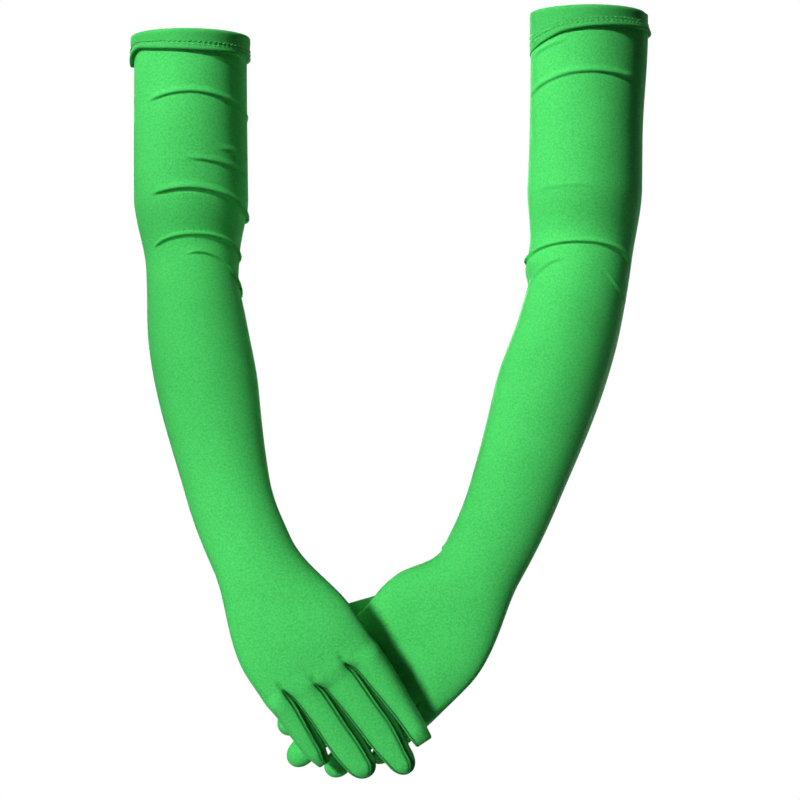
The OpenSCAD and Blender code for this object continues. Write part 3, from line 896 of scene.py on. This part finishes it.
def knit_material(name, tint=1.0):
    """Stretch knit: a fine speckled grain with a soft sheen, and painted shade in the seams' grooves and the recessed
    side strips between the fingers.
    """
    finish = bpy.context.scene.glove_finish
    material, tree = new_material(name)
    where = Shade.node(tree, "ShaderNodeTexCoord", output="Object")
    fine = Shade.node(
        tree, "ShaderNodeTexNoise", None,
        {"Vector": where, "Scale": 1 / finish.grain, "Detail": 3.0, "Roughness": 0.65},
    )
    patch = Shade.node(
        tree, "ShaderNodeTexNoise", None, {"Vector": where, "Scale": PATCH_SCALE, "Detail": 2.0, "Roughness": 0.5}
    )
    seam = Shade.node(tree, "ShaderNodeAttribute", {"attribute_name": "seam"}, output="Fac")
    strip = Shade.node(tree, "ShaderNodeAttribute", {"attribute_name": "strip"}, output="Fac")
    speckle = (fine - 0.5) * FINE_SPECKLE + (patch - 0.5) * BROAD_SPECKLE + SPECKLE_LEVEL
    cloth = Shade.node(tree, "ShaderNodeClamp", None, {0: speckle}).mix(
        tinted(finish.shade, tint), tinted(finish.knit, tint)
    )
    # Painted shade: the knit is darkened along the seams' grooves and in the side strips between the fingers, where
    # shade falls
    deep = tinted(finish.shade, PAINTED_SHADE * tint)
    color = (seam * SEAM_PAINTED_SHADE).mix((strip * STRIP_PAINTED_SHADE).mix(cloth, deep), deep)
    relief = Shade.node(
        tree, "ShaderNodeBump", None, {"Strength": 0.35, "Distance": 0.25 * MM, "Height": fine}
    )
    shader = Shade.node(
        tree, "ShaderNodeBsdfPrincipled", None,
        {
            "Base Color": color, "Roughness": KNIT_ROUGH[0] + KNIT_ROUGH[1] * fine, "Normal": relief,
            "Specular IOR Level": 0.03, "Sheen Weight": 0.05, "Sheen Roughness": 0.45,
            "Sheen Tint": (0.35, 0.9, 0.45, 1.0),
        },
    )
    Shade.node(tree, "ShaderNodeOutputMaterial", None, {"Surface": shader})
    return material


def thread_material(name):
    """Sewing thread: fine plies, lighter and darker."""
    finish = bpy.context.scene.glove_finish
    material, tree = new_material(name)
    where = Shade.node(tree, "ShaderNodeTexCoord", output="Object")
    ply = Shade.node(tree, "ShaderNodeTexNoise", None, {"Vector": where, "Scale": PLY_SCALE, "Detail": 1.0})
    color = ply.mix(*(tinted(finish.thread, share) for share in PLY_SHADES))
    shader = Shade.node(
        tree, "ShaderNodeBsdfPrincipled", None,
        {"Base Color": color, "Roughness": THREAD_ROUGH[0] + THREAD_ROUGH[1] * ply},
    )
    Shade.node(tree, "ShaderNodeOutputMaterial", None, {"Surface": shader})
    return material


def material_named(name, make, *args):
    """The material of that name, made when it is first asked for."""
    return bpy.data.materials.get(name) or make(name, *args)


# Where the sewn cloth starts under the hem and is cut, in millimetres from the cuff, elbow, wrist and finger roots
UNDER_HEM = 4.0
UPPER_TO = 45.0
WRIST_FROM = 20.0
HAND_FROM = 40.0
STUB = 7.0
# Rows of cells along the upper sleeve, the forearm, the wrist and the hand
UPPER_ROWS, FOREARM_ROWS, WRIST_ROWS, HAND_ROWS = 223, 94, 71, 33
# The seams down both sides, pressed in and painted with shade along their grooves: half width in degrees, and depth in
# millimetres
SIDE_SEAM_TURN = 0.9
SIDE_SEAM_DEPTH = 0.4
# Numbers that mark the pieces in the sewn cloth: the fingers follow from the last
UPPER_SLEEVE, FOREARM, HAND, FIRST_FINGER = range(4)
# Millimetres on each side of the elbow and above and below the wrist where the cloth turns with the joint
ELBOW_BLEND = 35.0
WRIST_BLEND = (35.0, 30.0)
# Stations between which a finger turns, and the height above the palm by which a thumb does
FINGER_BLEND = (-7.0, -27.0)
THUMB_BLEND = 12.0

# Gloves that are sewn already
SEWN = {}


def sew_glove(side):
    """The whole glove without its thumb and hem, as one sewn cloth."""
    form = GloveForm(side)
    ring = HandRing(form)
    elbow_cut, wrist_top, wrist_cut = form.elbow - UPPER_TO, form.wrist + WRIST_FROM, form.wrist - HAND_FROM
    stations = np.concatenate([
        np.linspace(form.cuff - UNDER_HEM, elbow_cut, UPPER_ROWS + 1),
        np.linspace(elbow_cut, wrist_top, FOREARM_ROWS + 1)[1:],
        np.linspace(wrist_top, wrist_cut, WRIST_ROWS + 1)[1:],
    ])
    drop = np.linspace(0, 1, HAND_ROWS + 1)[1:, None]
    s = np.vstack([stations[:, None] + np.zeros(len(ring.angle)), wrist_cut + (ring.rim - wrist_cut) * drop])
    angle = np.broadcast_to(ring.angle, s.shape)
    swell, sag = form.folds(s, angle)
    side_seam = bump(np.degrees(np.arcsin(np.sin(angle))), SIDE_SEAM_TURN)
    u, v = ring.section(s, swell - SIDE_SEAM_DEPTH * side_seam)
    points = form.place(s - sag, u, v)
    points = np.concatenate([points, points[:, :1]], axis=1)
    side_seam = np.concatenate([side_seam, side_seam[:, :1]], axis=1)
    pieces = [UPPER_SLEEVE] * UPPER_ROWS + [FOREARM] * (FOREARM_ROWS + WRIST_ROWS) + [HAND] * HAND_ROWS
    bm = new_cloth()
    # The seam mark makes the knit paint shade along the side seams
    lay(bm, points, pieces, {"seam": side_seam})
    for f in range(len(FINGERS)):
        points, marks = finger_grid(form, ring, f)
        depth = np.linalg.norm(points[:, BACK_CELLS // 2] - points[0, BACK_CELLS // 2], axis=-1)
        lay(bm, points, [HAND if d < STUB else FIRST_FINGER + f for d in depth[1:]], marks)
    sew(bm)
    return form, ring, bm


def sewn_glove(side):
    """A glove's form, its columns and its sewn cloth, sewn when it is first asked for."""
    if side not in SEWN:
        SEWN[side] = sew_glove(side)
    return SEWN[side]


def at(form, s, u=0.0, v=0.0):
    """One point of the glove's frame, in metres."""
    return tuple(form.place(np.array(float(s)), np.array(float(u)), np.array(float(v))) * MM)


class GLOVES_OT_sleeves(bpy.types.Operator):
    """Cut the upper sleeve and forearm of both gloves and let them bend at elbow and wrist"""

    bl_idname = "gloves.sleeves"
    bl_label = "Sleeves"

    def execute(self, context):
        knit = material_named("smooth_knit", knit_material)
        for side in SIDES:
            form, _, bm = sewn_glove(side)
            upper = cut_piece(bm, UPPER_SLEEVE, f"{side}_upper_sleeve_cloth", knit)
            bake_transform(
                upper, f"{side}_upper_sleeve", f"{side}_forearm",
                at(form, form.elbow + ELBOW_BLEND), at(form, form.elbow - ELBOW_BLEND),
            )
            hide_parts(f"{side}_upper_sleeve_back", f"{side}_upper_sleeve_front")
            lower = cut_piece(bm, FOREARM, f"{side}_forearm_cloth", knit)
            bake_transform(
                lower, f"{side}_forearm", f"{side}_hand",
                at(form, form.wrist + WRIST_BLEND[0]), at(form, form.wrist - WRIST_BLEND[1]),
            )
            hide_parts(f"{side}_forearm_back", f"{side}_forearm_front")
        return {"FINISHED"}


class GLOVES_OT_hands(bpy.types.Operator):
    """Cut the back and palm of both hands"""

    bl_idname = "gloves.hands"
    bl_label = "Hands"

    def execute(self, context):
        knit = material_named("smooth_knit", knit_material)
        for side in SIDES:
            _, _, bm = sewn_glove(side)
            hand = cut_piece(bm, HAND, f"{side}_hand_cloth", knit)
            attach(hand, f"{side}_hand")
            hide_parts(f"{side}_hand_back", f"{side}_hand_palm")
        return {"FINISHED"}


class GLOVES_OT_fingers(bpy.types.Operator):
    """Cut the fingers of both gloves, with the side strips sewn between them"""

    bl_idname = "gloves.fingers"
    bl_label = "Fingers"

    def execute(self, context):
        knit = material_named("smooth_knit", knit_material)
        for side in SIDES:
            form, ring, bm = sewn_glove(side)
            for f, name in enumerate(FINGERS):
                finger = cut_piece(bm, FIRST_FINGER + f, f"{side}_{name}_finger_cloth", knit)
                start, end = (at(form, s, float(ring.centre[f])) for s in FINGER_BLEND)
                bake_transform(finger, f"{side}_hand", f"{side}_{name}_finger", start, end)
                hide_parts(*(f"{side}_{part}" for part in (f"{name}_back", f"{name}_front") + STRIPS[name]))
        return {"FINISHED"}


# The thumb hole, from the third to the fifth of the palm's seven rows: its middle in millimetres above the finger
# roots, its middle and edges in degrees from the thumb side, and how much wider the thumb's root is
HOLE_STATION = (3 + 5) / 2 * 83.8 / 7
HOLE_ANGLE = -75.0
HOLE_EDGES = (-60.0, -90.0)
HOLE_WIDER = 1.45
# The thumb's root: half its length, how far its heel runs on to the wrist, its widening and its depth in the palm
THUMB_LONG = 17.36
THUMB_HEEL = 12.0
ROOT_WIDER = 1.1
ROOT_SUNK = 0.9
# The thumb's crook, its taper to the tip, the length of its rounded tip, and how far it sinks to the palm and how soon
THUMB_CROOK = 2.5
THUMB_TAPER = 0.14
THUMB_TIP = 11.0
THUMB_SINK = 0.05
THUMB_SINK_RUN = 8
# Cells round the thumb, and rows along its root, its length and its tip
THUMB_CELLS = 72
THUMB_ROOT_ROWS, THUMB_ROWS, THUMB_TIP_ROWS = 26, 44, 14
# The row of the seam round the thumb's root, where the knit paints a line of shade, and its spread
THUMB_SEAM_ROW = 3.0
THUMB_SEAM_ROWS = 1.2


def thumb_frame(form):
    """Middle of the thumb hole, the ways down the palm, across it and out of it, and half the width of the hole."""

    def surface(s, degrees):
        s = np.array(float(s))
        return form.place(s, *form.section(s, np.radians(degrees)))

    side = form.pose["thumb_side"]
    base = surface(HOLE_STATION, HOLE_ANGLE)
    down = unit(surface(0, HOLE_ANGLE) - base)
    along = unit(surface(HOLE_STATION, HOLE_ANGLE + 1) - surface(HOLE_STATION, HOLE_ANGLE - 1))
    out = side * unit(np.cross(along, down))
    across = np.cross(down, out) * side
    near, far = (surface(HOLE_STATION, edge) for edge in HOLE_EDGES)
    return base, down, across, out, float(np.linalg.norm(near - far) / 2 * HOLE_WIDER)


def on_palm(form, points, sunk):
    """The points moved on to the palm, a little under its surface."""
    up, _, _ = form.axes(np.array(HOLE_STATION))
    s = HOLE_STATION + (points - form.middle(np.array(HOLE_STATION))) @ up
    _, _, thumb = form.axes(s)
    u = np.sum((points - form.middle(s)) * thumb, -1)
    power = form.squareness(s)
    wide, _ = form.section(s, np.zeros_like(s))
    narrow, _ = form.section(s, np.full_like(s, np.pi))
    _, thick = form.section(s, np.full_like(s, np.pi / 2))
    share = np.clip(np.abs(u) / np.where(u > 0, wide, -narrow), 0, 1) ** (1 / power)
    return form.place(s, u, -(thick * (1 - share ** 2) ** (power / 2) - sunk))


def thumb_grid(form):
    """Rows of points from the thumb's root on the palm, rising out of it, to the tip, and the root's place and way."""
    size = bpy.context.scene.glove_sizes
    half, length = size.thumb_width / MM / 2, size.thumb_length / MM
    base, palm_down, palm_across, out, hole_wide = thumb_frame(form)
    swing = math.radians(form.pose["thumb_swing"])
    down = palm_down * math.cos(swing) + palm_across * math.sin(swing)
    across = palm_across * math.cos(swing) - palm_down * math.sin(swing)
    turn = np.linspace(0, 2 * np.pi, THUMB_CELLS + 1)
    start = THUMB_LONG + THUMB_CROOK
    straight = length - THUMB_TIP
    heel_start = -palm_down * (THUMB_LONG + THUMB_HEEL)
    root_wide = hole_wide * ROOT_WIDER

    def ring(near, far, wide):
        middle, reach = (near + far) / 2, (far - near) / 2
        return base + middle + reach * np.cos(turn)[:, None] + across * (wide * np.sin(turn))[:, None]

    def round_ring(middle, r):
        return ring(middle - out * r, middle + out * r, r)

    rows = []
    for t in np.linspace(0, 1, THUMB_ROOT_ROWS + 1):
        heel = heel_start * (1 - t) + down * start * t + out * (THUMB_CROOK + 2 * half) * ease(t)
        bend = np.pi / 2 * t
        crook = down * (start - THUMB_CROOK * math.cos(bend)) + out * THUMB_CROOK * math.sin(bend)
        points = ring(crook, heel, root_wide + (half - root_wide) * ease(t))
        flat = points - ((points - base) @ out)[:, None] * out
        rows.append(points + (on_palm(form, flat, ROOT_SUNK) - flat) * (1 - ease(t)))
    for t in np.linspace(0, 1, THUMB_ROWS + 1)[1:]:
        height = THUMB_CROOK + half * (1 - THUMB_SINK * ease(t * THUMB_SINK_RUN))
        rows.append(round_ring(down * (start + straight * t) + out * height, half * (1 - THUMB_TAPER * t)))
    for t in np.linspace(0, np.pi / 2, THUMB_TIP_ROWS + 1)[1:]:
        middle = down * (start + straight + THUMB_TIP * math.sin(t)) + out * (THUMB_CROOK + half * (1 - THUMB_SINK))
        rows.append(round_ring(middle, half * (1 - THUMB_TAPER) * max(0.0, math.cos(t))))
    return np.array(rows), base, out


class GLOVES_OT_thumbs(bpy.types.Operator):
    """Set the thumbs into the palms"""

    bl_idname = "gloves.thumbs"
    bl_label = "Thumbs"

    def execute(self, context):
        knit = material_named("smooth_knit", knit_material)
        for side in SIDES:
            form, _, _ = sewn_glove(side)
            grid, base, out = thumb_grid(form)
            # Painted shade: a dark line round the thumb's root where the seam would lie in shade
            seam = bump(np.arange(len(grid))[:, None] - THUMB_SEAM_ROW, THUMB_SEAM_ROWS)
            bm = new_cloth()
            lay(bm, grid, [0] * (len(grid) - 1), {"seam": seam})
            sew(bm)
            thumb = cut_piece(bm, 0, f"{side}_thumb_cloth", knit)
            bm.free()
            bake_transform(thumb, f"{side}_hand", f"{side}_thumb", tuple(base * MM), tuple((base + out * THUMB_BLEND) * MM))
            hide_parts(f"{side}_thumb")
        return {"FINISHED"}


HEM_CELLS = 180
# Section of the turned hem: distance out from the opening, share of the depth below the edge, and millimetres added
HEM_SECTION = (
    (0.7, 1.0, -0.4), (0.2, 0.8, 0.0), (0.0, 0.5, 0.0), (0.0, 0.2, 0.0), (0.1, 0.0, 1.6), (0.5, 0.0, 0.6),
    (1.2, 0.0, 0.1), (2.1, 0.0, 0.0), (3.0, 0.0, 0.4), (3.6, 0.0, 1.3), (3.8, 0.0, 2.6), (3.7, 0.25, 1.0),
    (3.5, 0.5, 0.0), (3.6, 0.75, 0.0), (3.9, 1.0, -2.4), (4.0, 1.0, -1.5), (3.8, 1.0, -0.7), (3.3, 1.0, -0.15),
    (2.6, 1.0, 0.05), (1.8, 1.0, 0.0), (1.2, 1.0, -0.1),
)
# Distance out at which the hem can be pressed flat, how its flare opens downwards, and how round its corners become
HEM_LOW = 1.75
HEM_OPENS = 1.5
HEM_ROUND = 0.6
# Stitches of the hem: each row's share of the depth and its slant, distance out, and half length and thickness
STITCH_ROWS = ((0.60, 0.5), (0.74, -0.5))
STITCH_OUT = 3.72
STITCH_HALF = (1.35 * MM, 0.33 * MM, 0.33 * MM)


def hem_place(form, degrees, out, share, extra):
    """Point on the hem: out from its opening, and a share of its depth plus a little below its edge."""
    size = bpy.context.scene.glove_sizes
    depth = flowing(HEM_DEPTH[form.side], wrapped(degrees))
    below = share * depth + extra
    turn, spread, flare = HEM_FLARE[form.side]
    flat_turn, flat_spread, flat = HEM_FLAT[form.side]
    pressed = flat * bump(wrapped(degrees - flat_turn), flat_spread)
    out = out - pressed * np.maximum(out - HEM_LOW, 0)
    flare = flare * bump(wrapped(degrees - turn), spread) * np.clip(below / depth, 0, 1) ** HEM_OPENS
    radius = size.cuff_bore / MM / 2 + out + flare
    s = form.hem_top - below
    return form.place(s, radius * np.cos(np.radians(degrees)), radius * np.sin(np.radians(degrees)))


def turned_hem(form, material):
    """The edge of the sleeve, turned over and closed on itself."""
    degrees = np.linspace(-180, 180, HEM_CELLS + 1)
    grid = np.array([hem_place(form, degrees, *p) for p in HEM_SECTION + HEM_SECTION[:1]])
    bm = new_cloth()
    lay(bm, grid, [0] * (len(grid) - 1), {})
    sew(bm)
    bmesh.ops.subdivide_edges(bm, edges=bm.edges, cuts=1, smooth=HEM_ROUND, use_grid_fill=True)
    hem = smooth_piece(bm, f"{form.side}_hem_cloth", material)
    drop_marks(hem.data)
    return hem


def cover_stitch(form, material, count):
    """Two rows of slanting stitches round the hem."""
    bm = bmesh.new()
    for row, slant in STITCH_ROWS:
        for k in range(count):
            turn = 360.0 * (k + row) / count
            here = hem_place(form, np.array(turn), STITCH_OUT, row, 0.0)
            sideways = unit(hem_place(form, np.array(turn + 0.5), STITCH_OUT, row, 0.0) - here)
            down = unit(hem_place(form, np.array(turn), STITCH_OUT, row, 0.5) - here)
            outward = unit(np.cross(sideways, down))
            along = unit(sideways + slant * down)
            turned = Matrix([list(c) for c in zip(along, np.cross(outward, along), outward)]).to_4x4()
            sized = Matrix.Diagonal((*STITCH_HALF, 1.0))
            made = bmesh.ops.create_icosphere(bm, subdivisions=1, radius=1.0)
            bmesh.ops.transform(
                bm, verts=made["verts"], matrix=Matrix.Translation(Vector(here * MM)) @ turned @ sized
            )
    bmesh.ops.recalc_face_normals(bm, faces=bm.faces)
    return smooth_piece(bm, f"{form.side}_hem_stitches", material)


class GLOVES_OT_hems(bpy.types.Operator):
    """Turn the hems of both cuffs and cover-stitch them"""

    bl_idname = "gloves.hems"
    bl_label = "Hems"

    def execute(self, context):
        knit = material_named("turned_knit", knit_material, HEM_TINT)
        thread = material_named("sewing_thread", thread_material)
        for side in SIDES:
            form, _, _ = sewn_glove(side)
            hem = turned_hem(form, knit)
            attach(hem, f"{side}_upper_sleeve")
            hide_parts(f"{side}_cuff_hem")
            stitches = cover_stitch(form, thread, context.scene.glove_sizes.stitches)
            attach(stitches, f"{side}_upper_sleeve")
        return {"FINISHED"}


# The camera: focal length and sensor width in millimetres, and its place
LENS = 102.3
SENSOR = 36.0
CAMERA_AT = (-0.004, -1.405, 0.1619)
# The floor: half its width, its strength of white, and how much of that is seen
FLOOR_HALF = 1.4
FLOOR_WHITE = 1.05
FLOOR_SEEN = 0.95
# Distance of the lamps, and for each its name, degrees round from the front and up, aim, size and degrees of spread
LAMP_AWAY = 3.0
LAMPS = (
    ("key", -40, 35, (-0.085, 0.10, 0.54), 0.25, 14),
    ("low", -28, 18, (0, -0.02, -0.01), 0.35, 14),
    ("side", -75, 5, (0, 0.03, 0.2), 0.5, 50),
    ("rear", 188, 6, (0, 0.03, 0.2), 0.8, 50),
    ("right", 142, -8, (0, 0.03, 0.2), 0.8, 50),
)
WHITE = (1, 1, 1, 1)


def looked_at(tree):
    """One where the camera looks straight, in a reflection or through something clear, and nought elsewhere."""
    rays = [
        Shade.node(tree, "ShaderNodeLightPath", output=name)
        for name in ("Is Camera Ray", "Is Glossy Ray", "Is Transmission Ray")
    ]
    return rays[0].math("MAXIMUM", rays[1]).math("MAXIMUM", rays[2])


def floor_material(look):
    """Pale floor that is white to the camera and keeps some of the gloves' shadow."""
    material, tree = new_material("floor")
    lit = Shade.node(
        tree, "ShaderNodeBsdfPrincipled", None, {"Base Color": list(look.floor_color) + [1.0], "Roughness": 0.9}
    )
    white = Shade.node(tree, "ShaderNodeEmission", None, {"Color": WHITE, "Strength": FLOOR_WHITE})
    mixed = Shade.node(tree, "ShaderNodeMixShader", None, {0: FLOOR_SEEN * looked_at(tree), 1: lit, 2: white})
    Shade.node(tree, "ShaderNodeOutputMaterial", None, {"Surface": mixed})
    return material


def hang_lamp(name, power, turn, rise, aim, size, spread):
    """A square lamp that the camera doesn't see, turned to the point it is aimed at."""
    data = bpy.data.lights.new(name, "AREA")
    data.energy = power
    data.size = size
    data.spread = math.radians(spread)
    lamp = bpy.data.objects.new(name, data)
    turn, rise = math.radians(turn), math.radians(rise)
    way = Vector((math.sin(turn) * math.cos(rise), -math.cos(turn) * math.cos(rise), math.sin(rise)))
    lamp.location = Vector(aim) + LAMP_AWAY * way
    lamp.rotation_euler = (-way).to_track_quat("-Z", "Y").to_euler()
    lamp.visible_camera = False
    bpy.context.collection.objects.link(lamp)


class GLOVES_OT_stage(bpy.types.Operator):
    """Camera, pale floor, soft lights and a white surround"""

    bl_idname = "gloves.stage"
    bl_label = "Stage"

    def execute(self, context):
        look = context.scene.glove_stage
        context.scene.view_settings.view_transform = "Standard"
        lens = bpy.data.cameras.new("camera")
        lens.lens = LENS
        lens.sensor_width = SENSOR
        camera = bpy.data.objects.new("camera", lens)
        camera.location = CAMERA_AT
        camera.rotation_euler = (math.pi / 2, 0, 0)
        context.collection.objects.link(camera)
        context.scene.camera = camera

        bm = bmesh.new()
        bmesh.ops.create_grid(bm, x_segments=1, y_segments=1, size=FLOOR_HALF)
        floor = smooth_piece(bm, "floor", floor_material(look))
        floor.location = (0, 0, -look.floor_drop)

        for name, *setting in LAMPS:
            hang_lamp(name, getattr(look, name), *setting)

        world = bpy.data.worlds.new("surround")
        context.scene.world = world
        world.use_nodes = True
        tree = world.node_tree
        tree.nodes.clear()
        strength = look.ambient + (1 - look.ambient) * looked_at(tree)
        back = Shade.node(tree, "ShaderNodeBackground", None, {"Color": WHITE, "Strength": strength})
        Shade.node(tree, "ShaderNodeOutputWorld", None, {"Surface": back})
        return {"FINISHED"}


STEPS = ("stage", "sleeves", "hands", "fingers", "thumbs", "hems")


class GLOVES_PT_panel(bpy.types.Panel):
    """Steps and sizes of the gloves"""

    bl_label = "Long Knit Gloves"
    bl_idname = "GLOVES_PT_panel"
    bl_space_type = "VIEW_3D"
    bl_region_type = "UI"
    bl_category = "Gloves"

    def draw(self, context):
        for step in STEPS:
            self.layout.operator(f"gloves.{step}")
        for group in (context.scene.glove_sizes, context.scene.glove_finish, context.scene.glove_stage):
            box = self.layout.box()
            for name in group.__annotations__:
                box.prop(group, name)


CLASSES = (
    GloveSizes, GloveFinish, GloveStage, GLOVES_OT_sleeves, GLOVES_OT_hands, GLOVES_OT_fingers, GLOVES_OT_thumbs,
    GLOVES_OT_hems, GLOVES_OT_stage, GLOVES_PT_panel,
)


def register():
    for cls in CLASSES:
        bpy.utils.register_class(cls)
    bpy.types.Scene.glove_sizes = PointerProperty(type=GloveSizes)
    bpy.types.Scene.glove_finish = PointerProperty(type=GloveFinish)
    bpy.types.Scene.glove_stage = PointerProperty(type=GloveStage)


def unregister():
    del bpy.types.Scene.glove_stage
    del bpy.types.Scene.glove_finish
    del bpy.types.Scene.glove_sizes
    for cls in reversed(CLASSES):
        bpy.utils.unregister_class(cls)


def main():
    """Makes the stage and every piece."""
    register()
    for step in STEPS:
        getattr(bpy.ops.gloves, step)()


if __name__ == "__main__":
    main()
